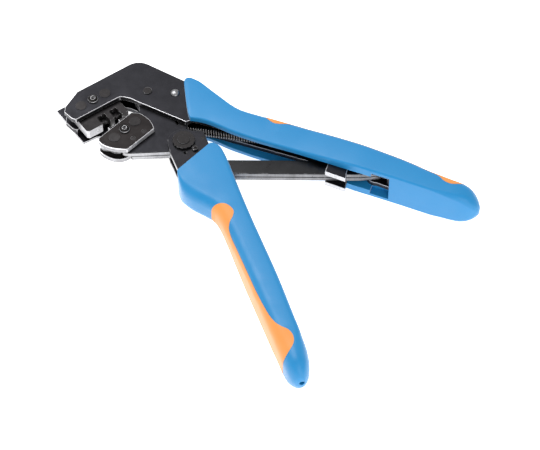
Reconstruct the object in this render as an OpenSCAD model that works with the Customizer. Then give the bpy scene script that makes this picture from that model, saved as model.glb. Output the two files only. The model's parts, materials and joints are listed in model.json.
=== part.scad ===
// Ratchet crimping hand tool, lying flat on its two grips with the handles open.
// +X runs along the fixed handle towards its free end, +Z is up through the tool's thickness.
// Outlines are drawn about the jaw pivot; place() then moves the whole tool so that the origin
// is the centre of the bottom of its bounding box.

/* [Overall] */
// Thickness of both grips at their free ends
grip_end_t = 23.5; // [22:0.5:26]
// Thickness of both grips next to the jaws
grip_neck_t = 19; // [18:0.5:20]
// Thickness of each outer steel plate
plate_t = 3; // [2.6:0.1:3.2]
// Space between the outer plates, where the jaw tail, the dies and the link lie
core_t = 6; // [5.6:0.1:6.4]
// Side play on each face of a moving core part
side_play = 0.05; // [0.02:0.01:0.1]
// Radial play of a pin in a hole that turns on it
pin_play = 0.05; // [0.02:0.01:0.1]

/* [Jaws] */
// Angle of the line where the dies meet, measured from the fixed handle
seat_angle = 55; // [54:0.5:56]
// Angle through which the movable jaw stands open
jaw_open = 11.4; // [11:0.1:11.8]
// Radius of the jaw pivot pin
jaw_pin_r = 2.6; // [2.2:0.1:3]
// Radius of the boss around the jaw pivot
jaw_boss_r = 8; // [7:0.5:9]
// Distance from the jaw pivot to the outer end of each die
die_reach = 42.5; // [41:0.5:43]
// Distance from the jaw pivot to the inner end of the fixed die
die_start = 15.5; // [15.2:0.1:16]
// Radius of the two locating pins on each die
die_pin_r = 3.2; // [2.8:0.1:3.3]
// Radius of the screw that holds each die
die_screw_r = 2; // [1.6:0.1:2.2]
// Radius of each die screw's round head
die_screw_head_r = 2.9; // [2.8:0.1:3.2]

/* [Linkage] */
// Handle pivot, along the fixed handle from the jaw pivot
handle_pivot_x = 32.2; // [32:0.1:32.4]
// Handle pivot, below the jaw pivot
handle_pivot_drop = 27.2; // [27:0.1:27.4]
// Angle between the two handles when open
handle_open = 50.3; // [50:0.1:50.6]
// Rear link pivot in the fixed handle, along the handle
link_rear_x = 138; // [137.5:0.1:138.5]
// Rear link pivot, below the jaw pivot
link_rear_drop = 6.8; // [6.6:0.1:7]
// Front link pivot, along the moving handle from its own pivot
link_front_s = 17.7; // [17.5:0.1:17.9]
// Front link pivot, across the moving handle towards the fixed one
link_front_t = 3.8; // [3.7:0.1:3.9]
// Width of the link plates
link_w = 9.6; // [9:0.1:10]
// Radius of both link pins
link_pin_r = 2.5; // [2.3:0.1:2.6]
// Radius of the handle pivot pin
handle_pin_r = 3.5; // [3.2:0.1:3.7]
// Radius of the adjusting wheel
wheel_r = 6.3; // [6:0.1:6.5]

/* [Ratchet] */
// Outer radius of the ratchet teeth on the jaw tail
tooth_tip_r = 8.6; // [8.4:0.1:8.8]
// Depth of the ratchet teeth
tooth_h = 1.1; // [0.8:0.1:1.3]
// Number of ratchet teeth
teeth = 11; // [9:1:13]

/* [Grips] */
// Length of the fixed grip's free end beyond the jaw pivot
upper_reach = 199.5; // [198:0.5:201]
// Depth to which the orange inserts wrap the grips' outer sides
insert_t = 2.2; // [1.8:0.1:2.4]
// Length over which the fixed grip's free end rounds off
upper_round = 14; // [10:0.5:16]
// Length over which the moving grip's free end rounds off
lower_round = 10; // [8:0.5:12]
// Radius of the hole in the end of the moving grip
end_hole_r = 1.5; // [1.2:0.1:1.6]
// Depth of the hole in the end of the moving grip
end_hole_depth = 12; // [8:0.5:13]

/* [Hidden] */
$fn = 64;

black = [0.13, 0.13, 0.14];
steel = [0.62, 0.62, 0.64];
blue = [0.22, 0.58, 0.86];
orange = [1.0, 0.68, 0.38];

// Levels through the thickness
mid_z = grip_end_t / 2;
core_low = mid_z - core_t / 2;
core_high = mid_z + core_t / 2;
plates_low = core_low - plate_t;
plates_high = core_high + plate_t;
leaf_t = core_t / 2 - side_play;

// Angles of the die lines: each local frame has u towards the nose and v towards the other jaw
fixed_turn = 180 + seat_angle;
jaw_turn = fixed_turn + jaw_open;

jaw_pivot = [0, 0];
handle_pivot = [handle_pivot_x, -handle_pivot_drop];
link_rear = [link_rear_x, -link_rear_drop];

function polar(r, a) = [r * cos(a), r * sin(a)];
function turned(p, a) = [p.x * cos(a) - p.y * sin(a), p.x * sin(a) + p.y * cos(a)];
function arc(c, r, a0, a1, n = 12) = [for (i = [0:n]) c + polar(r, a0 + (a1 - a0) * i / n)];
function bend(a, b, c, d, t) =
    0.5 * (2 * b + (c - a) * t + (2 * a - 5 * b + 4 * c - d) * t * t
        + (3 * b - a - 3 * c + d) * t * t * t);
// Smooth curve through points: each span between two of them is cut into n steps
function smooth(p, n = 4) = [
    for (i = [0:len(p) - 2], k = [0:n - 1])
        bend(p[max(i - 1, 0)], p[i], p[i + 1], p[min(i + 2, len(p) - 1)], k / n),
    p[len(p) - 1]
];
// A point given along (s) and across (t) the moving handle
function on_handle(p) = handle_pivot + turned(p, -handle_open);
function on_fixed_die(p) = turned(p, fixed_turn);
function on_jaw(p) = turned(p, jaw_turn);

link_front = on_handle([link_front_s, link_front_t]);
link_vector = link_front - link_rear;
link_len = norm(link_vector);
link_angle = atan2(link_vector.y, link_vector.x);

// Dies: both have a screw between two locating pins, on a line parallel to the die face
die_fixing_u = 28.4;
die_pin_pitch = 7.9;
fixed_fixing_v = -12.5;
jaw_fixing_v = 10.5;
fixed_face_v = 3.6;
jaw_face_v = 4.2;
jaw_seat_v = 16;
fixed_back_v = -17;
die_chamfer = 1.2;
nests = [[22.2, 4.8], [30, 5.2]];
nest_depth = 5;
lower_nest_depth = 2.2;
lower_nest_share = 0.45;

// Frame
head_corner = [-9, 8.95];
head_corner_r = 10;
head_edge_angle = 79;
tang_top = -0.4;
tang_bottom = -10.4;
tang_end = 148;
tongue_end = 170;
rivet_r = 1.8;
head_rivet_at = [15.1, 3.8];
tang_rivets_at = [[52, -3.6], [100, -5.4]];
spring_post_at = [86, -5.2];
spring_hook_at = [26.5, -14];
spring_post_r = 1.25;

// Moving handle
handle_rivets_at = [[74, 8.8], [98, 8.8]];
lock_screw_at = [7.4, 4.1];
spare_hole_at = [7.9, -1.8];
spare_hole_r = 0.9;
pawl_at = [10.2, 10.25];
pawl_post_at = [1.2, 10.9];
lower_reach = 168.2;
end_hole_t = 7;
handle_tongue_end = 150;

// Grip pockets
pocket_play = 0.06;
lower_slot_end = 71.5;

// Centre of the tool's bounding box, seen from above
locator_tip = [45, -26.3];
lower_tip_st = [166.9, 3.8];
lower_tip = on_handle(lower_tip_st);
box_centre = [
    (on_fixed_die(locator_tip).x + upper_reach) / 2,
    (head_corner.y + head_corner_r + lower_tip.y) / 2
];

module place() {
    translate([-box_centre.x, -box_centre.y, 0]) children();
}

module slab(low, high) {
    translate([0, 0, low]) linear_extrude(high - low) children();
}

module on_handle_frame() {
    translate(handle_pivot) rotate(-handle_open) children();
}

module on_link_frame() {
    translate(link_rear) rotate(link_angle) children();
}

module holes_at(spots, r) {
    for (p = spots) translate(p) circle(r);
}

// Round rod standing through the thickness
module rod(p, r, low, high) {
    translate([p.x, p.y, low]) cylinder(r = r, h = high - low);
}

// Domed head sitting on level z; it faces down when flip is true
module dome(p, r, h, z, flip = false) {
    cap_r = (r * r + h * h) / (2 * h);
    translate([p.x, p.y, z]) mirror([0, 0, flip ? 1 : 0]) intersection() {
        translate([0, 0, h - cap_r]) sphere(cap_r);
        cylinder(r = r, h = h);
    }
}

// ---- Frame ----

// Tab of each plate beside the link, which keeps it straight as it swings
link_guide = [[123, tang_bottom], [124.8, -22.2], [112.7, -21.3], [112.3, tang_bottom]];

module frame_outline() {
    polygon(concat(
        [for (p = [[44, -5.7], [45.4, -7.6], [46.3, -14], [44.1, -16.9], [32.5, -22.5]])
            on_fixed_die(p)],
        arc(head_corner, head_corner_r, seat_angle + 90, head_edge_angle, 6),
        smooth([[16.6, 14.1], [23, 12.7], [33, 8.8], [47, 2], [56, tang_top]], 3),
        [[tang_end, tang_top - 2.6], [tang_end, -6], [tongue_end, -9.5], [tongue_end, -14.5]],
        [[tang_end, -13]],
        arc(link_rear, 5.8, -70, -140, 5),
        [[129, tang_bottom]],
        link_guide,
        [[38, tang_bottom]],
        smooth([[34, -10.3], [31, -11], [28.4, -13.5], [24.5, -13], [-0.9, -9.3]], 3),
        [[-6.7, -8.25], [-10.3, -8.35], [-13.1, -9]],
        [on_fixed_die([19.5, -5.7])]
    ));
}

module frame_plate_flat() {
    difference() {
        frame_outline();
        holes_at([jaw_pivot], jaw_pin_r + 0.01);
        holes_at([head_rivet_at], rivet_r + 0.01);
        holes_at(tang_rivets_at, rivet_r + 0.01);
        holes_at([spring_post_at], spring_post_r + 0.01);
        holes_at([link_rear], link_pin_r + 0.01);
        rotate(fixed_turn) {
            holes_at([[die_fixing_u, fixed_fixing_v]], die_screw_r + pin_play);
            holes_at(die_pin_spots(fixed_fixing_v), die_pin_r + 0.02);
        }
    }
}

function die_pin_spots(v) = [for (side = [-1, 1]) [die_fixing_u + side * die_pin_pitch, v]];

module front_frame_plate() {
    color(black) place() slab(core_high, plates_high) frame_plate_flat();
}

module back_frame_plate() {
    color(black) place() slab(plates_low, core_low) frame_plate_flat();
}

module head_spacer() {
    color(black) place() slab(core_low, core_high) difference() {
        polygon(concat(
            [for (p = [[31, -22.2], [31, -17.4], [2, -17.4]]) on_fixed_die(p)],
            [[6, 11], [11, 1], [20, -1.5], [22, 12.6]],
            arc(head_corner, head_corner_r - 0.4, head_edge_angle, seat_angle + 90, 6)
        ));
        holes_at([head_rivet_at], rivet_r + 0.01);
    }
}

module tang_spacer() {
    color(black) place() slab(core_low, core_high) polygon([
        [145.5, -4], [tang_end, -6.6], [tongue_end, -9.9],
        [tongue_end, -14.1], [tang_end, -12.6], [145.5, -11.5]
    ]);
}

module jaw_pivot_pin() {
    color(black) place() {
        rod(jaw_pivot, jaw_pin_r, plates_low - 0.6, plates_high + 0.6);
    }
}

module head_rivet() {
    color(steel) place() {
        rod(head_rivet_at, rivet_r, plates_low, plates_high);
        dome(head_rivet_at, 2.65, 1.5, plates_high);
        dome(head_rivet_at, 2.65, 1.5, plates_low, true);
    }
}

module tang_rivets() {
    color(steel) place() for (p = tang_rivets_at) rod(p, rivet_r, plates_low, plates_high);
}

// A nest is a slot with a twin-arched roof, which curls the wings of a terminal
module nest(u, w, depth) {
    wall_v = fixed_face_v - depth;
    translate([u - w / 2, wall_v]) square([w, fixed_face_v - wall_v + 1]);
    for (side = [-1, 1]) translate([u + side * w / 4, wall_v]) circle(w / 4);
}

// Each nest is deep in its upper part and shallow in its lower part
module fixed_die() {
    color(steel) place() rotate(fixed_turn) difference() {
        slab(core_low, core_high) difference() {
            polygon([
                [die_start, fixed_back_v], [die_reach, fixed_back_v],
                [die_reach, fixed_face_v - die_chamfer], [die_reach - die_chamfer, fixed_face_v],
                [die_start, fixed_face_v]
            ]);
            holes_at([[die_fixing_u, fixed_fixing_v]], die_screw_r + pin_play);
            holes_at(die_pin_spots(fixed_fixing_v), die_pin_r + 0.02);
        }
        for (n = nests) {
            slab(core_low - 1, core_high) nest(n[0], n[1], lower_nest_depth);
            slab(core_low + lower_nest_share * core_t, core_high + 1) nest(n[0], n[1], nest_depth);
        }
    }
}

locator_t = 1.5;

module wire_locator() {
    color(black) place() rotate(fixed_turn) slab(plates_low - locator_t, plates_low) difference() {
        polygon([
            locator_tip, [45, 2.2], [36.5, 2.7], [34.5, 4], [18.5, 4], [18.5, -3], [24, -9],
            [24, -17], [31, -20.5], [39.8, -26.3]
        ]);
        holes_at([[die_fixing_u, fixed_fixing_v]], die_screw_r + pin_play);
        holes_at([[die_fixing_u + die_pin_pitch, fixed_fixing_v]], die_pin_r + 0.02);
    }
}

// Round-headed screw with a hexagon socket, through the thickness at p
module die_screw(p, low) {
    difference() {
        union() {
            rod(p, die_screw_r, low, plates_high);
            rod(p, die_screw_head_r, plates_high, plates_high + 0.9);
            dome(p, die_screw_head_r, 1, plates_high + 0.9);
        }
        translate([p.x, p.y, plates_high + 0.5]) cylinder(r = 1.3, h = 3, $fn = 6);
    }
}

nut_t = 2.7;
nut_r = 3.9;

module nut(p, top) {
    translate([p.x, p.y, top - nut_t]) difference() {
        cylinder(r = nut_r, h = nut_t, $fn = 6);
        translate([0, 0, -1]) cylinder(r = die_screw_r + pin_play, h = nut_t + 2);
    }
}

module fixed_die_screw() {
    color(black) place() rotate(fixed_turn)
        die_screw([die_fixing_u, fixed_fixing_v], plates_low - locator_t - nut_t - 0.6);
}

module fixed_die_nut() {
    color(black) place() rotate(fixed_turn)
        nut([die_fixing_u, fixed_fixing_v], plates_low - locator_t);
}

module fixed_die_pins() {
    color(black) place() rotate(fixed_turn)
        for (p = die_pin_spots(fixed_fixing_v)) rod(p, die_pin_r, plates_low, plates_high + 0.3);
}

module spring_post() {
    color(steel) place() rod(spring_post_at, spring_post_r, plates_low, plates_high);
}

module rear_link_pin() {
    color(steel) place() rod(link_rear, link_pin_r, plates_low, plates_high);
}

// ---- Movable jaw ----

jaw_rivets_at = [[22, 19.2], [29.5, 18.4]];
jaw_rivet_r = 1.5;
tooth_root_r = tooth_tip_r - tooth_h;
teeth_from = -12;
teeth_pitch = 6.6;

// Saw teeth: each rises steeply and falls away along the ramp
function saw() = [
    for (i = [0:teeth - 1], k = [0, 1])
        handle_pivot + polar(k == 0 ? tooth_tip_r : tooth_root_r,
            teeth_from + teeth_pitch * (i + 0.95 * k))
];

// The two plates differ only where they stand back from the cheeks, given by nose
module jaw_plate_flat(nose) {
    difference() {
        polygon(concat(
            arc(jaw_pivot, jaw_boss_r, -10, 238, 22),
            [[-1.5, -9.3], [-0.3, -12.6]],
            [for (p = concat([[14.8, 3.9], [14.8, jaw_seat_v]], nose, [[21, 38.1]])) on_jaw(p)],
            arc(handle_pivot, tooth_root_r, -125, teeth_from - 3, 8),
            saw(),
            arc(handle_pivot, tooth_root_r, 68, 108, 4),
            arc(spring_hook_at, 2.8, 0, 205, 8)
        ));
        holes_at([jaw_pivot], jaw_pin_r + pin_play);
        holes_at([handle_pivot], handle_pin_r + pin_play);
        holes_at([spring_hook_at], spring_post_r + 0.01);
        rotate(jaw_turn) holes_at(jaw_rivets_at, jaw_rivet_r + 0.01);
    }
}

module front_jaw_plate() {
    color(black) place() slab(mid_z, mid_z + leaf_t)
        jaw_plate_flat([[37.2, jaw_seat_v], [37.4, 17.6], [38.9, 19.1], [38.4, 21], [36.9, 23]]);
}

module back_jaw_plate() {
    color(black) place() slab(mid_z - leaf_t, mid_z)
        jaw_plate_flat([[35.6, jaw_seat_v], [34.7, 19], [35.3, 21.8], [36.3, 23.4]]);
}

// The two cheeks differ only along their lower corner, given by outer
module jaw_cheek_flat(outer) {
    rotate(jaw_turn) difference() {
        polygon(concat(
            [[17.1, 4.4], [42.7, 4.4]],
            smooth(outer, 3),
            [[16.7, 22.1]],
            smooth([[15.2, 19.5], [14, 16], [13.8, 12], [14.4, 8]], 2)
        ));
        holes_at([[die_fixing_u, jaw_fixing_v]], die_screw_r + pin_play);
        holes_at(die_pin_spots(jaw_fixing_v), die_pin_r + 0.02);
        holes_at(jaw_rivets_at, jaw_rivet_r + 0.01);
    }
}

module front_jaw_cheek() {
    color(black) place() slab(core_high, plates_high)
        jaw_cheek_flat([
            [44.2, 5.8], [44.6, 8.4], [44.1, 11.4], [43, 14.3], [40.8, 17.9], [37.6, 21.9]
        ]);
}

module back_jaw_cheek() {
    color(black) place() slab(plates_low, core_low)
        jaw_cheek_flat([
            [44.2, 5.8], [44.4, 8.6], [43.8, 12.2], [42.4, 16], [40.2, 18.6], [37.2, 20.2],
            [33.5, 20.9]
        ]);
}

module jaw_rivets() {
    color(black) place() rotate(jaw_turn)
        for (p = jaw_rivets_at) rod(p, jaw_rivet_r, plates_low, plates_high);
}

// An anvil is a tongue with a hollow top, which carries the terminal into its nest
module anvil(u, w) {
    tongue = w - 0.7;
    translate([u - tongue / 2, 0.9]) square([tongue, 4]);
}

module movable_die() {
    color(steel) place() rotate(jaw_turn) slab(core_low, core_high) difference() {
        union() {
            polygon([
                [15, jaw_seat_v], [15, jaw_face_v], [die_reach - die_chamfer, jaw_face_v],
                [die_reach, jaw_face_v + die_chamfer], [die_reach, 7.6], [40.4, 10.4], [39.7, 13.2],
                [37.4, jaw_seat_v]
            ]);
            for (n = nests) anvil(n[0], n[1]);
        }
        for (n = nests) translate([n[0], 0.5]) circle(0.3 * n[1]);
        holes_at([[die_fixing_u, jaw_fixing_v]], die_screw_r + pin_play);
        holes_at(die_pin_spots(jaw_fixing_v), die_pin_r + 0.02);
    }
}

module movable_die_screw() {
    color(black) place() rotate(jaw_turn)
        die_screw([die_fixing_u, jaw_fixing_v], plates_low - nut_t - 0.6);
}

module movable_die_nut() {
    color(black) place() rotate(jaw_turn) nut([die_fixing_u, jaw_fixing_v], plates_low);
}

module movable_die_pins() {
    color(black) place() rotate(jaw_turn)
        for (p = die_pin_spots(jaw_fixing_v)) rod(p, die_pin_r, plates_low, plates_high + 0.3);
}

module spring_hook_pin() {
    color(steel) place() rod(spring_hook_at, spring_post_r, mid_z - leaf_t, mid_z + leaf_t);
}

// ---- Return spring: the close-wound coil is a tube here ----

spring_outer_r = 2.85;
spring_wire = 0.8;
spring_clear = 3.2;

module return_spring() {
    run = spring_post_at - spring_hook_at;
    color(steel) place() translate([spring_hook_at.x, spring_hook_at.y, mid_z])
        rotate([0, 90, atan2(run.y, run.x)]) difference() {
            translate([0, 0, spring_clear])
                cylinder(r = spring_outer_r, h = norm(run) - 2 * spring_clear);
            cylinder(r = spring_outer_r - spring_wire, h = norm(run));
        }
}

// ---- Moving handle ----

handle_head_r = 8.9;
handle_tang_low = 4.2;
handle_tang_high = 14;
handle_tang_end = 112;

module handle_plate_flat() {
    difference() {
        polygon(concat(
            [[18.5, -9.4], [5, -9.5]],
            arc([0, 0], handle_head_r, 262, 130, 10),
            [[-3.2, 12.6], [7.5, 12.6], [12, 14.2]],
            [[handle_tang_end, handle_tang_high - 0.6], [handle_tang_end, 11.4]],
            [[handle_tongue_end, 10.6], [handle_tongue_end, 6], [handle_tang_end, 5.6]],
            [[handle_tang_end, handle_tang_low], [50, handle_tang_low + 0.2], [38, -4], [28, -8.8]]
        ));
        holes_at([[0, 0]], handle_pin_r + pin_play);
        holes_at([[link_front_s, link_front_t]], link_pin_r + 0.01);
        holes_at([pawl_at], pawl_pin_r + 0.01);
        holes_at([pawl_post_at], pawl_post_r + 0.01);
        holes_at(handle_rivets_at, rivet_r + 0.01);
    }
}

pawl_pin_r = 1.5;
pawl_post_r = 1;
lock_screw_r = 1.2;
lock_screw_head_r = 1.65;

module front_handle_plate() {
    color(black) place() on_handle_frame() difference() {
        slab(core_high, plates_high) handle_plate_flat();
        slab(core_high - 1, plates_high + 1) {
            holes_at([lock_screw_at], lock_screw_r + 0.02);
            holes_at([spare_hole_at], spare_hole_r);
        }
    }
}

module back_handle_plate() {
    color(black) place() on_handle_frame() slab(plates_low, core_low) handle_plate_flat();
}

module handle_spacer() {
    color(black) place() on_handle_frame() slab(core_low, core_high) difference() {
        translate([70, 5]) square([34, 8.2]);
        holes_at(handle_rivets_at, rivet_r + 0.01);
    }
}

module handle_rivets() {
    color(steel) place() on_handle_frame()
        for (p = handle_rivets_at) rod(p, rivet_r, plates_low, plates_high);
}

module front_link_pin() {
    color(steel) place() on_handle_frame()
        rod([link_front_s, link_front_t], link_pin_r, plates_low, plates_high);
}

module pawl_pin() {
    color(steel) place() on_handle_frame() rod(pawl_at, pawl_pin_r, plates_low, plates_high);
}

module pawl_spring_post() {
    color(steel) place() on_handle_frame()
        rod(pawl_post_at, pawl_post_r, plates_low, plates_high);
}

module adjuster_lock_screw() {
    color(black) place() on_handle_frame() difference() {
        union() {
            rod(lock_screw_at, lock_screw_r, core_high, plates_high);
            rod(lock_screw_at, lock_screw_head_r, plates_high, plates_high + 1.3);
        }
        translate([lock_screw_at.x - 0.3, lock_screw_at.y - 3, plates_high + 0.8])
            cube([0.6, 6, 2]);
    }
}

// ---- Adjuster: pivot pin, its wheel and the ring that keeps them in ----

wheel_t = 1.6;
wheel_notches = 16;
ring_t = 1.1;

module handle_pivot_pin() {
    color(black) place() rod(handle_pivot, handle_pin_r, plates_low - 1.6, plates_high + 2);
}

module adjusting_wheel() {
    color(black) place() translate([handle_pivot.x, handle_pivot.y, plates_high + side_play])
        difference() {
            cylinder(r = wheel_r, h = wheel_t);
            translate([0, 0, -1]) cylinder(r = handle_pin_r + 0.01, h = wheel_t + 2);
            for (i = [0:wheel_notches - 1]) rotate(i * 360 / wheel_notches)
                translate([wheel_r + 0.35, 0, -1]) cylinder(r = 0.7, h = wheel_t + 2);
        }
}

module pivot_retaining_ring() {
    color(steel) place()
        translate([handle_pivot.x, handle_pivot.y, plates_low - side_play - ring_t]) difference() {
            cylinder(r = handle_pin_r + 1.5, h = ring_t);
            translate([0, 0, -1]) cylinder(r = handle_pin_r + 0.01, h = ring_t + 2);
            rotate(-handle_open) translate([-20, -1.2, -1]) cube([20, 2.4, ring_t + 2]);
        }
}

// ---- Ratchet pawl ----

pawl_t = 5;
pawl_boss_r = 2.4;
pawl_nose = 5.1;
pawl_tail = 3.6;
pawl_tail_angle = 115;

// The nose points at the handle pivot and the tail stands off to one side
module ratchet_pawl() {
    aim = atan2(-pawl_at.y, -pawl_at.x);
    tail_turn = pawl_tail_angle - aim;
    color(steel) place() on_handle_frame() slab(mid_z - pawl_t / 2, mid_z + pawl_t / 2)
        translate(pawl_at) rotate(aim) difference() {
            polygon(concat(
                arc([0, 0], pawl_boss_r, 60, tail_turn - 25, 8),
                [turned([pawl_tail, -1], tail_turn), turned([pawl_tail, 1], tail_turn)],
                arc([0, 0], pawl_boss_r, tail_turn + 25, 300, 2),
                [[pawl_nose, -0.5], [pawl_nose, 0.5]]
            ));
            circle(pawl_pin_r + pin_play);
        }
}

module pawl_spring() {
    from = pawl_at + polar(pawl_tail, pawl_tail_angle);
    run = pawl_post_at - from;
    color(steel) place() on_handle_frame() translate([from.x, from.y, mid_z])
        rotate([0, 90, atan2(run.y, run.x)]) difference() {
            translate([0, 0, 1.3]) cylinder(r = 1, h = norm(run) - 2.6);
            cylinder(r = 0.6, h = norm(run));
        }
}

// ---- Link: seen along its own length from the rear pivot ----

link_end_r = 5.8;
link_rear_r = 3.8;
link_taper = 9;
slot_r = link_pin_r + 0.95;
slot_offset = [-0.67, 0.47];

module link_plate_flat() {
    difference() {
        union() {
            circle(link_rear_r);
            polygon([
                [0, -link_rear_r], [link_taper, -link_w / 2], [link_len, -link_w / 2],
                [link_len, link_w / 2], [link_taper, link_w / 2], [0, link_rear_r]
            ]);
            translate([link_len, 0]) circle(link_end_r);
        }
        circle(link_pin_r + pin_play);
        translate([link_len, 0] + slot_offset) circle(slot_r);
    }
}

module front_link_plate() {
    color(black) place() on_link_frame() slab(mid_z, mid_z + leaf_t) link_plate_flat();
}

module back_link_plate() {
    color(black) place() on_link_frame() slab(mid_z - leaf_t, mid_z) link_plate_flat();
}

// ---- Grips: each is a moulded sleeve, open towards the jaws and along its inner side ----

upper_far = [
    [20.5, 15.6], [26, 14.9], [33, 12.1], [40, 9.2], [47.5, 5.8], [54, 3.8], [62, 3.3], [84, 3.2],
    [113, 2.1], [150, -1.5], [168, -4.6], [180, -5.6], [189, -6.2], [194, -7.6],
    [upper_reach - 2, -10.2], [upper_reach, -13.4]
];
upper_near = [
    [upper_reach, -14.8], [197.6, -17.2], [193, -18.6], [186, -18.8], [174, -18.2], [154, -17.1],
    [136, -16.4], [119, -15.8], [96, -15], [73, -14.9], [56, -13.8], [48, -12.5], [41.5, -11.6],
    [37.5, -11.5], [33.5, -11.9], [30.3, -12.6]
];

module upper_outline() {
    polygon(concat([[27.9, -9.1], [21.1, 3.3], [17.4, 12.3], [18.2, 14.8]],
        smooth(upper_far), smooth(upper_near)));
}

lower_far = [
    [20.2, -10.6], [26, -11.9], [32, -11.9], [38, -9.4], [45, -4], [51, -0.2], [58, 0.9], [68, 1],
    [90, 0.8], [126, 0.8], [147, 0.8], [155, 0.5], [160.5, 0.8], [164.6, 2], lower_tip_st,
    [lower_reach - 0.3, 6]
];
lower_near = [
    [lower_reach, 7.8], [167.2, 10], [164.6, 12.3], [159.5, 14.2], [153, 15.2], [144, 15.4],
    [129, 15.8], [111, 16.5], [80, 17], [50, 17.4], [36, 17.8], [23, 18.2], [13, 17.4], [8.9, 15]
];

module lower_outline() {
    polygon(concat([[8.3, 12.4]], smooth(lower_far), smooth(lower_near)));
}

// Side profile: thin along the neck, swelling to full thickness, then rounding off at the end
module swelling(neck_end, full_from, reach, round_len) {
    half = grip_end_t / 2;
    neck = grip_neck_t / 2;
    translate([0, 100, mid_z]) rotate([90, 0, 0]) linear_extrude(200) polygon(concat(
        [[-10, -neck], [neck_end, -neck], [full_from, -half]],
        [for (a = [-90:15:90]) [reach - round_len + round_len * cos(a), half * sin(a)]],
        [[full_from, half], [neck_end, neck], [-10, neck]]
    ));
}

upper_neck_end = 96;
upper_full_from = 128;
lower_neck_end = 66;
lower_full_from = 100;

module upper_body() {
    intersection() {
        slab(0, grip_end_t) upper_outline();
        swelling(upper_neck_end, upper_full_from, upper_reach, upper_round);
    }
}

module lower_body() {
    intersection() {
        slab(0, grip_end_t) lower_outline();
        swelling(lower_neck_end, lower_full_from, lower_reach, lower_round);
    }
}

// Edge of the orange insert on the faces: a lobe near each end and a thin line between
upper_insert_edge = [
    [68.5, 6], [69.5, 2.6], [72.5, 0.4], [76, -0.7], [80, 0.1], [84, 1.6], [90, 2], [113, 1.1],
    [150, -2.6], [168, -5.9], [173, -7.4], [177, -9.8], [181, -10.4], [185, -9], [187.5, -6.9],
    [189, -2]
];
lower_insert_edge = [
    [49.3, -3], [49.4, 2], [51.5, 6.7], [56.5, 9], [60.3, 7.6], [64, 4.2], [70, 2.4], [86, 2.2],
    [110, 2.2], [126, 3], [133.7, 4.3], [138, 6.4], [141.2, 9.1], [145, 10.2], [149, 9.4],
    [152, 7], [155, 3], [157.5, -2]
];
insert_core_z = grip_neck_t / 2 - insert_t;

module upper_insert_solid() {
    intersection() {
        upper_body();
        difference() {
            slab(0, grip_end_t) polygon(concat(smooth(upper_insert_edge), [[189, 20], [68.5, 20]]));
            slab(mid_z - insert_core_z, mid_z + insert_core_z) polygon(concat(
                [for (i = [6:13]) upper_far[i] - [0, insert_t]],
                [[195, -40], [62, -40]]
            ));
        }
    }
}

module lower_insert_solid() {
    intersection() {
        lower_body();
        difference() {
            slab(0, grip_end_t) polygon(concat(smooth(lower_insert_edge), [[157.5, -20], [49.3, -20]]));
            slab(mid_z - insert_core_z, mid_z + insert_core_z) polygon(concat(
                [for (i = [4:12]) lower_far[i] + [0, insert_t]],
                [[160, 40], [45, 40]]
            ));
        }
    }
}

// Window where the slot widens around the rear end of the link
window_from = 137.3;
window_wall = 3;

// Pocket for the frame's tang: open below, and closed beyond the end of the slot
module upper_pocket() {
    slab(window_wall, grip_end_t - window_wall) translate([window_from, -30])
        square([tang_end + 0.1 - window_from, 18.5]);
    slab(plates_low - pocket_play, plates_high + pocket_play) {
        polygon(concat(
            [[14, 14.2], [16.6, 14.2]],
            smooth([[16.6, 14.16], [23, 12.76], [33, 8.86], [47, 2.06], [56, tang_top + 0.06]], 3),
            [[tang_end + 0.1, tang_top - 2.5], [tang_end + 0.1, -30], [14, -30]]
        ));
        polygon([[140, -6], [tang_end, -5.9], [tongue_end + 0.1, -9.4], [tongue_end + 0.1, -14.6],
            [tang_end, -13.1], [140, -13]]);
    }
}

// Pocket for the moving handle's plates, with the slot that the link sweeps through
module lower_pocket() {
    slab(plates_low - pocket_play, plates_high + pocket_play) {
        polygon([
            [0, -9.7], [18.5, -9.7], [28, -8.9], [38, -4.1], [50, handle_tang_low + 0.1],
            [lower_slot_end, handle_tang_low - 0.1], [lower_slot_end, 40], [0, 40]
        ]);
        polygon([
            [lower_slot_end - 1, handle_tang_low - 0.1], [handle_tang_end + 0.1, handle_tang_low - 0.1],
            [handle_tang_end + 0.1, handle_tang_high], [lower_slot_end - 1, handle_tang_high + 0.1]
        ]);
        polygon([
            [handle_tang_end, 5.5], [handle_tongue_end + 0.1, 5.9], [handle_tongue_end + 0.1, 10.7],
            [handle_tang_end, 11.5]
        ]);
    }
}

module upper_grip() {
    color(blue) place() difference() {
        upper_body();
        upper_insert_solid();
        upper_pocket();
    }
}

module upper_grip_insert() {
    color(orange) place() upper_insert_solid();
}

module lower_grip() {
    color(blue) place() on_handle_frame() difference() {
        lower_body();
        lower_insert_solid();
        lower_pocket();
        translate([lower_reach - end_hole_depth, end_hole_t, mid_z]) rotate([0, 90, 0])
            cylinder(r = end_hole_r, h = end_hole_depth + 1);
    }
}

module lower_grip_insert() {
    color(orange) place() on_handle_frame() lower_insert_solid();
}

front_frame_plate();
back_frame_plate();
head_spacer();
tang_spacer();
jaw_pivot_pin();
head_rivet();
tang_rivets();
fixed_die();
fixed_die_screw();
fixed_die_nut();
fixed_die_pins();
wire_locator();
spring_post();
rear_link_pin();
upper_grip();
upper_grip_insert();
front_jaw_plate();
back_jaw_plate();
front_jaw_cheek();
back_jaw_cheek();
jaw_rivets();
movable_die();
movable_die_screw();
movable_die_nut();
movable_die_pins();
spring_hook_pin();
return_spring();
front_handle_plate();
back_handle_plate();
handle_spacer();
handle_rivets();
front_link_pin();
pawl_pin();
pawl_spring_post();
adjuster_lock_screw();
lower_grip();
lower_grip_insert();
handle_pivot_pin();
adjusting_wheel();
pivot_retaining_ring();
ratchet_pawl();
pawl_spring();
front_link_plate();
back_link_plate();
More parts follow.
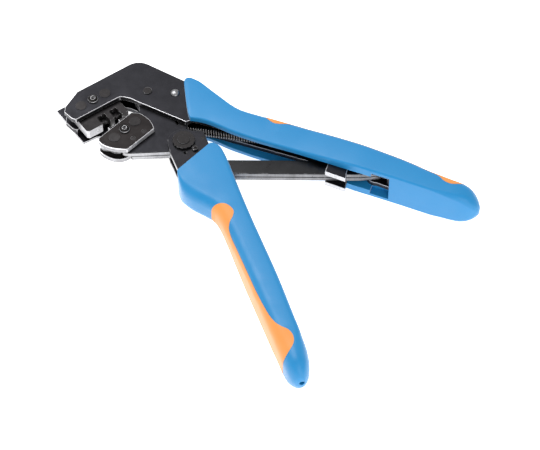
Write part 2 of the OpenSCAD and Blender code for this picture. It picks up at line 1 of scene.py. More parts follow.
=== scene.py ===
"""Ratchet crimping tool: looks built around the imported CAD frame.

The metal parts are refined copies of their CAD nodes: the same solids with eased edges, so that
each sheared plate has a dark face, a ground cut edge and a worn arris. The grips and their inserts
are new lofted shells with soft edges, fitted to the CAD grips by casting rays, and cut to the CAD
pockets and insert outlines. The springs are real coils.
"""

import json
import math

import bmesh
import bpy
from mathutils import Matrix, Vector
from mathutils.bvhtree import BVHTree


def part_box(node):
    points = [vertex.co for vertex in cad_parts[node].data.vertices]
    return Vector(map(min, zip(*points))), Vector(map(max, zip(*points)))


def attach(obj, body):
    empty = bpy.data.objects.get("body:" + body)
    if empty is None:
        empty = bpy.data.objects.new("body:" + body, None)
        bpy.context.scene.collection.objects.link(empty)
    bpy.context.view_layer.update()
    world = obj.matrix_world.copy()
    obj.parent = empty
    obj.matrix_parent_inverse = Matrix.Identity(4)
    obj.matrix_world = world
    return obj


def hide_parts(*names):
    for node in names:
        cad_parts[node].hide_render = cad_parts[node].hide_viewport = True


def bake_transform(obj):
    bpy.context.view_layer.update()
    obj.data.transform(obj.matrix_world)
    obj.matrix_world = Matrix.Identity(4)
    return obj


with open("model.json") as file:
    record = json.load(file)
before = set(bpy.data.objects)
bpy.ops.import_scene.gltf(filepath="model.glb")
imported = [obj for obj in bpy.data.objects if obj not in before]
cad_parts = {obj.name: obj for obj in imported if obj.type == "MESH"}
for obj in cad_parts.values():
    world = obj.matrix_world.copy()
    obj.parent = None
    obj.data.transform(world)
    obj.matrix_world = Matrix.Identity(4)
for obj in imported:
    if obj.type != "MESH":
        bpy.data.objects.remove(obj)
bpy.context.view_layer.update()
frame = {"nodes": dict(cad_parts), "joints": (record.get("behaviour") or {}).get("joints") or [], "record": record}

# Everything is in metres; sizes given in mm are multiplied by MM
MM = 0.001
JOINTS = {j["name"]: Vector(j["pos_m"]) for j in frame["joints"]}
JAW_PIVOT = JOINTS["jaw_hinge"]
HANDLE_PIVOT = JOINTS["handle_hinge"]
MID = JAW_PIVOT.z
BODY_OF = {n: b for b, nodes in frame["record"]["behaviour"]["bodies"].items() for n in nodes}

# Headings at rest, seen from above: the fixed die, how far the jaw stands open, the moving handle
FIXED_DIE_DEG = 235
JAW_OPEN_DEG = 11.4
HANDLE_OPEN = math.radians(-50.3)


def plan(x, y, z=0.0):
    """Point x along the fixed handle and y across it from the jaw pivot, at height z, all in mm."""
    return Vector((JAW_PIVOT.x + x * MM, JAW_PIVOT.y + y * MM, z * MM))


# ---- Materials ----

def new_material(name):
    """A new node material: itself, its tree, its shader and its object coordinates."""
    material = bpy.data.materials.new(name)
    material.use_nodes = True
    tree = material.node_tree
    shader = tree.nodes["Principled BSDF"]
    coords = tree.nodes.new("ShaderNodeTexCoord")
    return material, tree, shader, coords.outputs["Object"]


def noise(tree, coords, scale, detail=4.0, stretch=(1, 1, 1), rough=0.55):
    """Noise with scale cells per metre along each axis, times that axis's stretch."""
    mapping = tree.nodes.new("ShaderNodeMapping")
    mapping.inputs["Scale"].default_value = stretch
    tree.links.new(coords, mapping.inputs["Vector"])
    texture = tree.nodes.new("ShaderNodeTexNoise")
    texture.inputs["Scale"].default_value = scale
    texture.inputs["Detail"].default_value = detail
    texture.inputs["Roughness"].default_value = rough
    tree.links.new(mapping.outputs["Vector"], texture.inputs["Vector"])
    return texture.outputs["Fac"]


def ramp(tree, value, low, high, out_low=0.0, out_high=1.0):
    """Maps value from low..high to out_low..out_high, clamped."""
    node = tree.nodes.new("ShaderNodeMapRange")
    node.inputs["From Min"].default_value = low
    node.inputs["From Max"].default_value = high
    node.inputs["To Min"].default_value = out_low
    node.inputs["To Max"].default_value = out_high
    tree.links.new(value, node.inputs["Value"])
    return node.outputs["Result"]


def mixed(tree, factor, a, b):
    """Colour mix of a and b, each a colour or a socket; factor is a socket."""
    node = tree.nodes.new("ShaderNodeMix")
    node.data_type = "RGBA"
    sockets = [s for s in node.inputs if s.type == "RGBA"]
    for socket, value in zip(sockets, (a, b)):
        if isinstance(value, tuple):
            socket.default_value = (*value, 1)
        else:
            tree.links.new(value, socket)
    tree.links.new(factor, node.inputs[0])
    return [s for s in node.outputs if s.type == "RGBA"][0]


def times(tree, a, b):
    """Product of two sockets."""
    node = tree.nodes.new("ShaderNodeMath")
    node.operation = "MULTIPLY"
    tree.links.new(a, node.inputs[0])
    tree.links.new(b, node.inputs[1])
    return node.outputs[0]


def bump(tree, shader, height, distance, strength):
    """Fine relief from a height socket; distance is in metres."""
    node = tree.nodes.new("ShaderNodeBump")
    node.inputs["Distance"].default_value = distance
    node.inputs["Strength"].default_value = strength
    tree.links.new(height, node.inputs["Height"])
    tree.links.new(node.outputs["Normal"], shader.inputs["Normal"])


def upright_faces(tree):
    """Socket that is 1 on faces that stand upright and 0 on faces that lie flat."""
    geometry = tree.nodes.new("ShaderNodeNewGeometry")
    split = tree.nodes.new("ShaderNodeSeparateXYZ")
    tree.links.new(geometry.outputs["True Normal"], split.inputs[0])
    flat = tree.nodes.new("ShaderNodeMath")
    flat.operation = "ABSOLUTE"
    tree.links.new(split.outputs["Z"], flat.inputs[0])
    return ramp(tree, flat.outputs[0], 0.25, 0.6, 1.0, 0.0)


def scaled(tone, share):
    """A tone made lighter or darker."""
    return tuple(c * share for c in tone)


def plate_metal(name, tone, cut, cut_tone=(0.56, 0.56, 0.58), rough=0.42):
    """Blackened plate; cut is how far its upright cut edges are ground bright."""
    material, tree, shader, coords = new_material(name)
    cloud = noise(tree, coords, 60, 3)
    grain = noise(tree, coords, 1400, 5)
    dark = mixed(tree, ramp(tree, cloud, 0.35, 0.65), tone, scaled(tone, 1.25))
    speckled = mixed(tree, ramp(tree, grain, 0.5, 0.8, 0.0, 0.3), dark, scaled(tone, 2.2))
    streaks = noise(tree, coords, 900, 4, stretch=(1, 1, 0.08))
    ground = mixed(tree, ramp(tree, streaks, 0.3, 0.7), scaled(cut_tone, 0.72), cut_tone)
    upright = upright_faces(tree)
    patchy = ramp(tree, noise(tree, coords, 110, 4), 0.3, 0.62, cut * 0.55, cut)
    edge = times(tree, upright, patchy)
    colour = mixed(tree, edge, speckled, ground)
    tree.links.new(colour, shader.inputs["Base Color"])
    tree.links.new(ramp(tree, edge, 0.0, 1.0, 1.0, 0.35), shader.inputs["Metallic"])
    roughness = ramp(tree, noise(tree, coords, 260, 6), 0.3, 0.7, rough - 0.07, rough + 0.08)
    tree.links.new(roughness, shader.inputs["Roughness"])
    bump(tree, shader, grain, 0.02 * MM, 0.5)
    return material


WORN_BLACK = (0.02, 0.02, 0.022)
BARE_STEEL = (0.55, 0.55, 0.57)


def arris_metal(name, bright):
    """Worn edge: bare steel that breaks up into the black finish; bright is the bare share."""
    material, tree, shader, coords = new_material(name)
    wear = noise(tree, coords, 170, 6, rough=0.65)
    low = 0.62 - 0.37 * bright
    bare = ramp(tree, wear, low, low + 0.12, 0.0, bright)
    colour = mixed(tree, bare, WORN_BLACK, BARE_STEEL)
    tree.links.new(colour, shader.inputs["Base Color"])
    shader.inputs["Metallic"].default_value = 0.75
    tree.links.new(ramp(tree, wear, 0.3, 0.7, 0.38, 0.24), shader.inputs["Roughness"])
    bump(tree, shader, noise(tree, coords, 1500, 3), 0.01 * MM, 0.5)
    return material


def turned_steel(name, tone, rough):
    """Plain steel with fine machining marks."""
    material, tree, shader, coords = new_material(name)
    marks = noise(tree, coords, 1600, 4)
    colour = mixed(tree, ramp(tree, marks, 0.3, 0.7), scaled(tone, 0.75), tone)
    tree.links.new(colour, shader.inputs["Base Color"])
    shader.inputs["Metallic"].default_value = 1.0
    tree.links.new(ramp(tree, marks, 0.3, 0.7, rough - 0.05, rough + 0.08), shader.inputs["Roughness"])
    bump(tree, shader, marks, 0.015 * MM, 0.4)
    return material


def moulded_plastic(name, tone, shade, rough, grain_depth):
    """Satin moulded polymer with a fine spark-eroded grain and slight unevenness."""
    material, tree, shader, coords = new_material(name)
    cloud = noise(tree, coords, 45, 3)
    grain = noise(tree, coords, 2600, 3)
    colour = mixed(tree, ramp(tree, cloud, 0.3, 0.7), tone, shade)
    tree.links.new(colour, shader.inputs["Base Color"])
    smear = ramp(tree, noise(tree, coords, 130, 5), 0.3, 0.7, rough - 0.05, rough + 0.07)
    tree.links.new(smear, shader.inputs["Roughness"])
    shader.inputs["Specular IOR Level"].default_value = 0.38
    shader.inputs["Sheen Weight"].default_value = 0.3
    shader.inputs["Sheen Roughness"].default_value = 0.4
    bump(tree, shader, grain, grain_depth, 0.6)
    return material


BLACK = (0.017, 0.017, 0.0195)
LINK_BLACK = (0.021, 0.021, 0.022)
WARM_BLACK = (0.0145, 0.013, 0.013)
FASTENER_BLACK = (0.0175, 0.0165, 0.0168)
DIE_BLACK = (0.016, 0.015, 0.0155)
DIE_GREY = (0.4, 0.4, 0.41)
PLATE = plate_metal("plate_black", BLACK, 0.1)
CUT_PLATE = plate_metal("plate_black_cut_bright", BLACK, 0.85)
LINK_PLATE = plate_metal("link_black_cut_bright", LINK_BLACK, 0.6, (0.42, 0.42, 0.44), 0.34)
CHEEK = plate_metal("cheek_black_cut_bright", WARM_BLACK, 1.0, (0.44, 0.44, 0.46))
FASTENER = plate_metal("fastener_black", FASTENER_BLACK, 0.12, rough=0.33)
DIE = plate_metal("die_steel_dark", DIE_BLACK, 0.3, (0.3, 0.29, 0.29), 0.36)
# Ground die steel; the same material is also the painted highlight on the handle plates' outer edge
GROUND_AND_PAINTED_HIGHLIGHT = plate_metal("die_steel_ground_and_painted_highlight", DIE_GREY, 1.0, (0.6, 0.6, 0.62), 0.3)
FAINT_ARRIS = arris_metal("arris_faint", 0.22)
SOFT_ARRIS = arris_metal("arris_soft", 0.45)
BRIGHT_ARRIS = arris_metal("arris_bright", 1.0)
STEEL = turned_steel("turned_steel", (0.6, 0.6, 0.61), 0.25)
RIVET = turned_steel("rivet_steel", (0.27, 0.27, 0.28), 0.3)
DARK_STEEL = turned_steel("dark_steel", (0.026, 0.025, 0.025), 0.3)
SPRING = turned_steel("spring_wire", (0.17, 0.165, 0.165), 0.18)
BLUE = moulded_plastic("blue_grip", (0.006, 0.192, 0.44), (0.008, 0.202, 0.455), 0.4, 0.01 * MM)
ORANGE = moulded_plastic("orange_insert", (0.68, 0.25, 0.052), (0.7, 0.265, 0.06), 0.55, 0.02 * MM)


# ---- Mesh tools ----

WELD_GAP = 0.001 * MM
FLAT_WITHIN = math.radians(1)
EASED_OVER = math.radians(32)
SHADED_SHARP_DEG = 40
PIN_TOUCH = 0.08 * MM


def finish_piece(obj, node):
    """Makes a piece stand for a CAD node, on that node's body."""
    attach(obj, BODY_OF[node])
    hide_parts(node)
    return obj


def object_from(bm, name, materials, sharp_deg):
    """An object from a bmesh, shaded smooth but for edges sharper than sharp_deg."""
    mesh = bpy.data.meshes.new(name)
    bm.to_mesh(mesh)
    bm.free()
    stored = mesh.attributes.get("custom_normal")
    if stored:
        mesh.attributes.remove(stored)
    for material in materials:
        mesh.materials.append(material)
    mesh.shade_smooth()
    mesh.set_sharp_from_angle(angle=math.radians(sharp_deg))
    obj = bpy.data.objects.new(name, mesh)
    bpy.context.scene.collection.objects.link(obj)
    return obj


def surface_of(node):
    """Search tree over a CAD node's surface."""
    mesh = frame["nodes"][node].data
    return BVHTree.FromPolygons([v.co.copy() for v in mesh.vertices],
                                [tuple(p.vertices) for p in mesh.polygons])


def centre_of(node):
    """Middle of a CAD node's box."""
    low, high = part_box(node)
    return (low + high) / 2


def welded(node):
    """A closed copy of a CAD node's mesh, its flat faces merged."""
    bm = bmesh.new()
    bm.from_mesh(frame["nodes"][node].data)
    bmesh.ops.remove_doubles(bm, verts=bm.verts, dist=WELD_GAP)
    for layer in list(bm.loops.layers.float_vector):
        bm.loops.layers.float_vector.remove(layer)
    bmesh.ops.dissolve_limit(bm, angle_limit=FLAT_WITHIN, verts=bm.verts, edges=bm.edges)
    for face in bm.faces:
        face.material_index = 0
    return bm


PIN_NODES = (
    "jaw_pivot_pin", "tang_rivets", "fixed_die_pins", "spring_post", "rear_link_pin", "jaw_rivets",
    "movable_die_pins", "spring_hook_pin", "handle_rivets", "front_link_pin", "pawl_pin",
    "pawl_spring_post", "head_rivet",
)
PIN_SURFACES = {name: surface_of(name) for name in PIN_NODES}


def fits_a_pin(node, edge):
    """True for the rim of a hole that a pin fills: such rims stay sharp, as drilled."""
    for name, surface in PIN_SURFACES.items():
        if name == node:
            continue
        if all(surface.find_nearest(v.co, PIN_TOUCH)[0] is not None for v in edge.verts):
            return True
    return False


def eased(node, edge_mm, materials, ground=None, clamp=True, keep=None):
    """A refined copy of a CAD node: its sharp edges are eased, and the easing gets material 1.
    Upright faces for which ground(centre, normal) is true get material 2, and edges for which
    keep(centre) is true stay sharp. clamp stops the easing short of running into itself."""
    bm = welded(node)
    sharp_edges = [e for e in bm.edges
                   if len(e.link_faces) == 2 and e.calc_face_angle(0) > EASED_OVER
                   and not fits_a_pin(node, e)
                   and not (keep and keep((e.verts[0].co + e.verts[1].co) / 2))]
    for face in bm.faces:
        upright = abs(face.normal.z) < 0.3
        if ground and upright and ground(face.calc_center_median(), face.normal):
            face.material_index = 2
    bmesh.ops.bevel(bm, geom=sharp_edges, offset=edge_mm * MM, segments=2, profile=0.5,
                    affect="EDGES", clamp_overlap=clamp, material=1)
    obj = object_from(bm, node + "_piece", materials, SHADED_SHARP_DEG)
    flatten = obj.modifiers.new("flat_faces", "WEIGHTED_NORMAL")
    flatten.keep_sharp = True
    return finish_piece(obj, node)


def skin(bm, rings):
    """Joins rings of vertices into one closed skin."""
    for a, b in zip(rings, rings[1:]):
        count = len(a)
        for k in range(count):
            bm.faces.new((a[k], a[(k + 1) % count], b[(k + 1) % count], b[k]))
    bm.faces.new(list(reversed(rings[0])))
    bm.faces.new(rings[-1])


def lathe(name, node, profile, material, sides=48):
    """Turned piece about a CAD node's upright axis; profile is (radius, height) in mm."""
    centre = centre_of(node)
    bm = bmesh.new()
    rings = []
    for radius, height in profile:
        ring = []
        for k in range(sides):
            a = 2 * math.pi * k / sides
            x = centre.x + radius * MM * math.cos(a)
            y = centre.y + radius * MM * math.sin(a)
            ring.append(bm.verts.new((x, y, height * MM)))
        rings.append(ring)
    skin(bm, rings)
    bmesh.ops.recalc_face_normals(bm, faces=bm.faces)
    obj = object_from(bm, name, [material], SHADED_SHARP_DEG)
    return finish_piece(obj, node)


def tube(name, points, radius, sides, material):
    """Round wire along points; its ends are closed."""
    bm = bmesh.new()
    rings = []
    previous = None
    normal = None
    for i, point in enumerate(points):
        ahead = points[min(i + 1, len(points) - 1)] - points[max(i - 1, 0)]
        tangent = ahead.normalized()
        if normal is None:
            normal = tangent.orthogonal().normalized()
        else:
            normal = previous.rotation_difference(tangent) @ normal
            normal = (normal - normal.dot(tangent) * tangent).normalized()
        side = tangent.cross(normal)
        ring = []
        for k in range(sides):
            a = 2 * math.pi * k / sides
            ring.append(bm.verts.new(point + radius * (math.cos(a) * normal + math.sin(a) * side)))
        rings.append(ring)
        previous = tangent
    skin(bm, rings)
    return object_from(bm, name, [material], 60)


def keep_common(obj, node):
    """Cuts a piece down to what lies inside a CAD node."""
    cutter = object_from(welded(node), "cutter", [obj.data.materials[0]], SHADED_SHARP_DEG)
    modifier = obj.modifiers.new("common", "BOOLEAN")
    modifier.operation = "INTERSECT"
    modifier.solver = "EXACT"
    modifier.object = cutter
    bpy.context.view_layer.update()
    graph = bpy.context.evaluated_depsgraph_get()
    mesh = bpy.data.meshes.new_from_object(obj.evaluated_get(graph))
    obj.modifiers.clear()
    old = obj.data
    obj.data = mesh
    bpy.data.meshes.remove(old)
    bpy.data.objects.remove(cutter)


# ---- Metal parts: eased copies of the CAD nodes ----

# Node: width of its easing in mm, material of its faces, material of its easing
METAL = {
    "head_spacer": (0.15, PLATE, SOFT_ARRIS),
    "tang_spacer": (0.15, PLATE, SOFT_ARRIS),
    "jaw_pivot_pin": (0.3, FASTENER, SOFT_ARRIS),
    "tang_rivets": (0.2, STEEL, STEEL),
    "fixed_die_screw": (0.16, FASTENER, BRIGHT_ARRIS),
    "fixed_die_nut": (0.2, FASTENER, SOFT_ARRIS),
    "fixed_die_pins": (0.12, FASTENER, FAINT_ARRIS),
    "wire_locator": (0.2, CUT_PLATE, BRIGHT_ARRIS),
    "spring_post": (0.15, STEEL, STEEL),
    "rear_link_pin": (0.2, STEEL, STEEL),
    "front_jaw_cheek": (0.4, CHEEK, BRIGHT_ARRIS),
    "back_jaw_cheek": (0.4, CHEEK, BRIGHT_ARRIS),
    "jaw_rivets": (0.12, FASTENER, FAINT_ARRIS),
    "movable_die_screw": (0.16, FASTENER, BRIGHT_ARRIS),
    "movable_die_nut": (0.2, FASTENER, SOFT_ARRIS),
    "movable_die_pins": (0.12, FASTENER, FAINT_ARRIS),
    "spring_hook_pin": (0.15, DARK_STEEL, DARK_STEEL),
    "handle_spacer": (0.15, PLATE, SOFT_ARRIS),
    "handle_rivets": (0.2, STEEL, STEEL),
    "front_link_pin": (0.2, DARK_STEEL, DARK_STEEL),
    "pawl_pin": (0.2, DARK_STEEL, DARK_STEEL),
    "pawl_spring_post": (0.12, DARK_STEEL, DARK_STEEL),
    "adjuster_lock_screw": (0.12, FASTENER, SOFT_ARRIS),
    "handle_pivot_pin": (0.3, FASTENER, FAINT_ARRIS),
    "adjusting_wheel": (0.15, FASTENER, FAINT_ARRIS),
    "pivot_retaining_ring": (0.12, STEEL, STEEL),
    "ratchet_pawl": (0.15, DIE, BRIGHT_ARRIS),
    "front_link_plate": (0.4, LINK_PLATE, FAINT_ARRIS),
    "back_link_plate": (0.4, LINK_PLATE, FAINT_ARRIS),
}
PLAIN_OUTLINES = {"front_jaw_cheek", "back_jaw_cheek", "front_link_plate", "back_link_plate"}
for node, (edge_mm, face_material, edge_material) in METAL.items():
    eased(node, edge_mm, [face_material, edge_material], clamp=node not in PLAIN_OUTLINES)


# Frame plates: dark, but for the end of the tab that guides the link
GUIDE_FROM = 100 * MM
GUIDE_EDGE = -19 * MM


def on_guide_end(at, normal):
    out = at - JAW_PIVOT
    return out.x > GUIDE_FROM and out.y < GUIDE_EDGE


for node in ("front_frame_plate", "back_frame_plate"):
    eased(node, 0.24, [PLATE, BRIGHT_ARRIS, GROUND_AND_PAINTED_HIGHLIGHT], clamp=False, ground=on_guide_end)


# Jaw plates: wide easing everywhere but on the small ratchet teeth
TEETH_WITHIN = 9.3 * MM


def on_teeth(at):
    return (at - HANDLE_PIVOT).xy.length < TEETH_WITHIN


for node in ("front_jaw_plate", "back_jaw_plate"):
    eased(node, 0.35, [CUT_PLATE, FAINT_ARRIS], clamp=False, keep=on_teeth)


# Handle plates: dark, with a painted highlight: only the sheared edge that faces away from the other handle gets
# the bright ground colour, and their other edges stay dark
HIGHLIGHT_FROM = 4 * MM
ACROSS_HANDLE = Vector((-math.sin(HANDLE_OPEN), math.cos(HANDLE_OPEN), 0))
ALONG_HANDLE = Vector((math.cos(HANDLE_OPEN), math.sin(HANDLE_OPEN), 0))


def on_painted_highlight_edge(at, normal):
    faces_away = normal.dot(ACROSS_HANDLE) < -0.8
    return faces_away and (at - HANDLE_PIVOT).dot(ALONG_HANDLE) > HIGHLIGHT_FROM


for node in ("front_handle_plate", "back_handle_plate"):
    # painted highlight: the chosen outer edge gets the bright ground colour
    eased(node, 0.25, [PLATE, FAINT_ARRIS, GROUND_AND_PAINTED_HIGHLIGHT], clamp=False, ground=on_painted_highlight_edge)


# The dies are ground bright at their outer ends, and the anvils all over
OUTER_END = 32 * MM
ANVIL_FOOT = 4 * MM
NOSE_HEADING = {
    "fixed_die": math.radians(FIXED_DIE_DEG),
    "movable_die": math.radians(FIXED_DIE_DEG + JAW_OPEN_DEG),
}


def die_is_ground(node):
    """The test for the ground faces of one die."""
    heading = NOSE_HEADING[node]
    nose = Vector((math.cos(heading), math.sin(heading), 0))
    across = Vector((-nose.y, nose.x, 0))

    def is_ground(at, normal):
        out = at - JAW_PIVOT
        outer = out.dot(nose) > OUTER_END and normal.dot(nose) > -0.3
        return outer or (node == "movable_die" and out.dot(across) < ANVIL_FOOT)

    return is_ground


for node in NOSE_HEADING:
    eased(node, 0.13, [DIE, BRIGHT_ARRIS, GROUND_AND_PAINTED_HIGHLIGHT], ground=die_is_ground(node))


# The head rivet is turned anew, so that its two heads are domed
def domed_rivet_profile(node, dome, shank_r, steps=10):
    """Both domed heads and the shank of a rivet, from its lowest to its highest ring."""
    low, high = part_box(node)
    middle = centre_of(node).z / MM
    half = (high.z - low.z) / 2 / MM
    head_r = (high.x - low.x) / 2 / MM
    # a dome starts just off its top, so that its first ring is a small flat and not a point
    start = math.pi / 2 * 0.97
    angles = [start * (1 - i / steps) for i in range(steps + 1)]
    rim = half - dome
    head = [(head_r * math.cos(a), rim + dome * math.sin(a)) for a in angles]
    head.append((shank_r, rim))
    below = [(r, middle - h) for r, h in head]
    above = [(r, middle + h) for r, h in reversed(head)]
    return below + above


lathe("head_rivet_piece", "head_rivet", domed_rivet_profile("head_rivet", 1.5, 1.8), RIVET)


# ---- Springs ----

HOOK_SHARE = 0.55


def coil_path(start, end, radius, pitch, per_turn=14, taper=0.0):
    """Coil between two points on its axis. Over its first taper metres it widens from a share of
    its radius to the whole."""
    axis = (end - start).normalized()
    across = Vector((0, 0, 1))
    side = axis.cross(across)
    length = (end - start).length
    turns = round(length / pitch)
    steps = turns * per_turn
    points = []
    for i in range(steps + 1):
        a = 2 * math.pi * i / per_turn
        at = length * i / steps
        wide = radius
        if taper:
            wide *= min(1.0, HOOK_SHARE + (1 - HOOK_SHARE) * at / taper)
        points.append(start + axis * at + wide * (math.cos(a) * across + math.sin(a) * side))
    return points


def ring_path(centre, radius, from_angle, sweep, steps=14):
    """Part of a circle lying flat round a pin."""
    angles = [from_angle + sweep * i / steps for i in range(steps + 1)]
    return [centre + radius * Vector((math.cos(a), math.sin(a), 0)) for a in angles]


def filled(points, widest, step):
    """The same path, with points added where two lie further apart than widest."""
    path = [points[0]]
    for p, q in zip(points, points[1:]):
        gap = (q - p).length
        if gap > widest:
            count = int(gap / step)
            path += [p.lerp(q, k / count) for k in range(1, count)]
        path.append(q)
    return path


def softened(points):
    """The same path, with each point drawn halfway to the middle of its neighbours."""
    path = [points[0]]
    for i in range(1, len(points) - 1):
        path.append(points[i] * 0.5 + (points[i - 1] + points[i + 1]) * 0.25)
    return path + [points[-1]]


END_LOOP = math.pi * 1.35
LOOP_PLAY = 0.1


def hooked_spring(name, node, hook, post, wire, outer, clear, pitch, pin_r, taper):
    """Coil spring whose end loops pass round two pins; its sizes are in mm. It returns the spring
    and the middles of the two pins."""
    a, b = centre_of(hook), centre_of(post)
    a.z = b.z = MID
    run = (b - a).normalized()
    heading = math.atan2(run.y, run.x)
    loop = (pin_r + 0.5 * wire + LOOP_PLAY) * MM
    coil = coil_path(a + run * clear * MM, b - run * clear * MM, (outer - 0.5 * wire) * MM,
                     pitch * MM, taper=taper * MM)
    first = ring_path(a, loop, heading + END_LOOP, -END_LOOP)
    last = ring_path(b, loop, heading + math.pi, END_LOOP)
    path = filled(first + coil + last, widest=1.2 * MM, step=0.5 * MM)
    path = softened(softened(path))
    obj = tube(name, path, 0.5 * wire * MM, 8, SPRING)
    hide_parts(node)
    return obj, a, b


return_spring, hook_at, post_at = hooked_spring(
    "return_spring_coil", "return_spring", "spring_hook_pin", "spring_post",
    wire=1.0, outer=2.85, clear=3.2, pitch=1.46, pin_r=1.25, taper=11)
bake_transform(return_spring)

PAWL_COIL_R = 0.6 * MM
PAWL_COIL_PITCH = 0.6 * MM
PAWL_WIRE_R = 0.17 * MM
pawl_low, pawl_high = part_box("pawl_spring")
pawl_middle = centre_of("pawl_spring")
pawl_post = centre_of("pawl_spring_post")
pawl_run = Vector((pawl_post.x - pawl_middle.x, pawl_post.y - pawl_middle.y, 0)).normalized()
pawl_half = 0.5 * ((pawl_high - pawl_low).xy.length - 2 * PAWL_COIL_R)
pawl_end = pawl_middle - pawl_run * pawl_half
post_end = pawl_middle + pawl_run * pawl_half
pawl_path = coil_path(pawl_end, post_end, PAWL_COIL_R, PAWL_COIL_PITCH, per_turn=12)
pawl_coil = tube("pawl_spring_coil", pawl_path, PAWL_WIRE_R, 6, SPRING)
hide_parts("pawl_spring")
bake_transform(pawl_coil)


# ---- Grips ----

class CadSurface:
    """Outer surface of a CAD grip and its insert, found by casting rays from outside."""

    def __init__(self, nodes):
        self.trees = [surface_of(name) for name in nodes]

    def outside(self, inner, direction, reach=60 * MM):
        """Where a ray from far outside, aimed at inner against direction, first meets the grip."""
        best = None
        for tree in self.trees:
            hit = tree.ray_cast(inner + direction * reach, -direction, reach)
            if hit[0] is not None and (best is None or hit[3] < best[1]):
                best = (hit[0], hit[3])
        return best[0] if best else inner


def corner(radius_u, radius_z, steps):
    """Quarter of an ellipse as distances in from the side and down from the top, starting on the
    side."""
    angles = [math.pi / 2 * i / steps for i in range(steps + 1)]
    return [(radius_u * (1 - math.cos(a)), radius_z * (1 - math.sin(a))) for a in angles]


# How much of its half width or half height an edge radius may take up
ROUND_SHARE = 0.98
CORNERS = ((False, True), (True, True), (True, False), (False, False))


def section(near, far, half, radii, inset, steps=6):
    """Closed ring of a grip's section between two plan points. radii are those of its near and far
    edges, and inset draws it in all round."""
    across = far - near
    width = across.length - 2 * inset
    unit = across.normalized()
    base = near + unit * inset
    h = half - inset
    ring = []
    for at_far, up in CORNERS:
        radius = radii[1 if at_far else 0]
        points = corner(min(radius, width / 2 * ROUND_SHARE), min(radius, h * ROUND_SHARE), steps)
        if at_far == up:
            points = list(reversed(points))
        for u, z in points:
            along = width - u if at_far else u
            height = (h - z) if up else (z - h)
            ring.append(Vector((base.x + unit.x * along, base.y + unit.y * along, MID + height)))
    return ring


SECTIONS = 64
# The last section stops this far short of the free end
END_FLAT = 0.35
# The outline is read this high above the middle, or at this share of the grip's own half height
READ_AT = 8.9 * MM
READ_SHARE = 0.8
# Near the free end it is read low down, where the rounded end stands furthest out
FREE_END = 20
LOW_READ_SHARE = 0.25


def stations_along(spine):
    """Places of the sections along a spine, closer together towards its two ends."""
    first_s, last_s = spine[0][0], spine[-1][0]
    length = last_s - first_s
    turns = [math.pi * i / SECTIONS for i in range(SECTIONS + 1)]
    stations = [first_s + length * (1 - math.cos(a)) / 2 for a in turns]
    return [s for s in stations if last_s - s > END_FLAT]


def spine_at(spine, s):
    """How far across the spine lies at s."""
    t = 0.0
    for (s0, t0), (s1, t1) in zip(spine, spine[1:]):
        if s0 <= s <= s1:
            t = t0 + (t1 - t0) * (s - s0) / (s1 - s0)
    return t


def grip_shell(name, nodes, material, to_world, spine, lean_deg, lean_end, radius_at, inset):
    """Lofted shell with soft edges. spine is a list of plan points from the front edge to the free
    end; the front edge leans over in plan, and sections stand square across by lean_end."""
    surface = CadSurface(nodes)
    rings = []
    first_s, last_s = spine[0][0], spine[-1][0]
    for s in stations_along(spine):
        t = spine_at(spine, s)
        share = min(1.0, (s - first_s) / (lean_end - first_s))
        angle = math.radians(lean_deg + (90 - lean_deg) * share)
        centre = to_world(s, t)
        up = Vector((0, 0, 1))
        direction = (to_world(s + math.cos(angle), t + math.sin(angle)) - centre).normalized()
        centre.z = MID
        top = surface.outside(centre, up).z - MID
        level = min(READ_AT, top * READ_SHARE)
        if last_s - s < FREE_END:
            level = top * LOW_READ_SHARE
        far = surface.outside(centre + up * level, direction)
        near = surface.outside(centre + up * level, -direction)
        far.z = near.z = MID
        radii = [r * MM for r in radius_at(last_s - s, s - first_s)]
        rings.append(section(near, far, top, radii, inset * MM))
    bm = bmesh.new()
    skin(bm, [[bm.verts.new(p) for p in ring] for ring in rings])
    bmesh.ops.recalc_face_normals(bm, faces=bm.faces)
    return object_from(bm, name, [material], 45)


def along_handle(s, t):
    """Point s along the moving handle and t across it from its pivot, in mm."""
    c, k = math.cos(HANDLE_OPEN), math.sin(HANDLE_OPEN)
    x = HANDLE_PIVOT.x + (s * c - t * k) * MM
    y = HANDLE_PIVOT.y + (s * k + t * c) * MM
    return Vector((x, y, 0))


CRISP = 0.45
CRISP_RUN = 16
BLUNT_RUN = 26


def edge_radii(near, far, blunt):
    """Edge radii in mm: crisp at the front, then near and far, and blunt at the free end."""
    def radii(to_end, from_front):
        grow = min(1.0, from_front / CRISP_RUN)
        tail = max(0.0, 1 - to_end / BLUNT_RUN) ** 0.7
        a, b = (CRISP + (side - CRISP) * grow for side in (near, far))
        return a + (blunt - a) * tail, b + (blunt - b) * tail
    return radii


UPPER_SPINE = [(23.2, 0), (40, -2), (70, -5.5), (110, -6.5), (150, -9), (180, -12), (199.5, -14.1)]
LOWER_SPINE = [(14.3, 1.2), (30, 3), (50, 8), (90, 8.8), (130, 8.2), (150, 8), (168.2, 6.9)]
# Grip: its spine, where that lies, how its front edge leans and until where, its edge radii
GRIPS = {
    "upper_grip": (UPPER_SPINE, plan, 116.1, 60, edge_radii(1.4, 3, 5)),
    "lower_grip": (LOWER_SPINE, along_handle, 117.3, 55, edge_radii(6.5, 2.6, 9)),
}
BLUE_INSET = 0.14
ORANGE_INSET = 0.05
GRIP_SHARP = math.radians(38)
for node, (spine, to_world, lean_deg, lean_end, radius_at) in GRIPS.items():
    insert = node + "_insert"
    for part, material, inset in ((node, BLUE, BLUE_INSET), (insert, ORANGE, ORANGE_INSET)):
        shell = grip_shell(part + "_moulding", (node, insert), material, to_world, spine,
                           lean_deg, lean_end, radius_at, inset)
        keep_common(shell, part)
        shell.data.shade_smooth()
        shell.data.set_sharp_from_angle(angle=GRIP_SHARP)
        finish_piece(shell, part)


# ---- Floor, light and camera ----

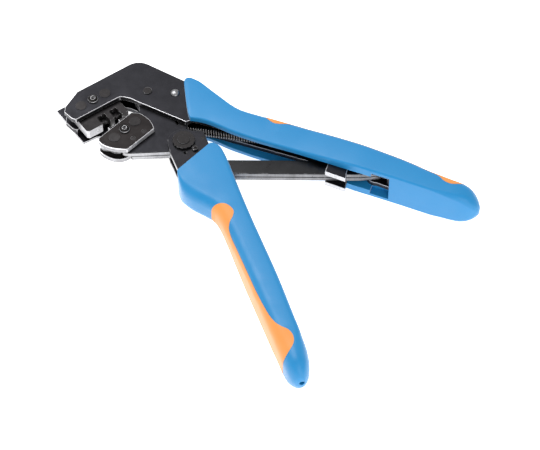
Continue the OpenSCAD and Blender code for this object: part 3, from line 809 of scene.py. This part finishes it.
def floor_material():
    """White table, lit from within as a product light table is."""
    material, tree, shader, coords = new_material("floor_pale")
    cloud = noise(tree, coords, 3, 2)
    colour = mixed(tree, cloud, (0.86, 0.86, 0.86), (0.88, 0.88, 0.88))
    tree.links.new(colour, shader.inputs["Base Color"])
    shader.inputs["Roughness"].default_value = 0.8
    shader.inputs["Emission Color"].default_value = (1, 1, 1, 1)
    shader.inputs["Emission Strength"].default_value = 1.0
    return material


FLOOR_HALF = 4.0
bm = bmesh.new()
corners = ((-1, -1), (1, -1), (1, 1), (-1, 1))
bm.faces.new([bm.verts.new((x * FLOOR_HALF, y * FLOOR_HALF, 0)) for x, y in corners])
floor = object_from(bm, "floor", [floor_material()], SHADED_SHARP_DEG)

world = bpy.data.worlds.new("studio")
bpy.context.scene.world = world
world.use_nodes = True
background = world.node_tree.nodes["Background"]
background.inputs["Color"].default_value = (1, 1, 1, 1)
background.inputs["Strength"].default_value = 0.75


def softbox(name, place, size, watts):
    """Square area light that faces the middle of the tool."""
    data = bpy.data.lights.new(name, "AREA")
    data.energy = watts
    data.size = size
    light = bpy.data.objects.new(name, data)
    bpy.context.scene.collection.objects.link(light)
    light.location = place
    light.rotation_euler = (-Vector(place)).to_track_quat("-Z", "Y").to_euler()


softbox("key", (-0.35, 0.25, 0.7), 0.5, 4.5)
softbox("fill", (0.45, -0.55, 0.35), 0.7, 3.0)

AZIMUTH = math.radians(19.6)
ELEVATION = math.radians(53)
DISTANCE = 1.2
SENSOR_WIDTH = 36
FOCAL_LENGTH = 148
target = plan(95.17, -61.72, 12)
back = Vector((math.sin(AZIMUTH) * math.cos(ELEVATION), -math.cos(AZIMUTH) * math.cos(ELEVATION),
               math.sin(ELEVATION)))
lens = bpy.data.cameras.new("camera")
camera = bpy.data.objects.new("camera", lens)
bpy.context.scene.collection.objects.link(camera)
camera.location = target + back * DISTANCE
camera.rotation_mode = "QUATERNION"
camera.rotation_quaternion = (-back).to_track_quat("-Z", "Y")
lens.sensor_width = SENSOR_WIDTH
lens.lens = FOCAL_LENGTH
lens.clip_start = 0.01
bpy.context.scene.camera = camera
bpy.context.scene.view_settings.view_transform = "Standard"
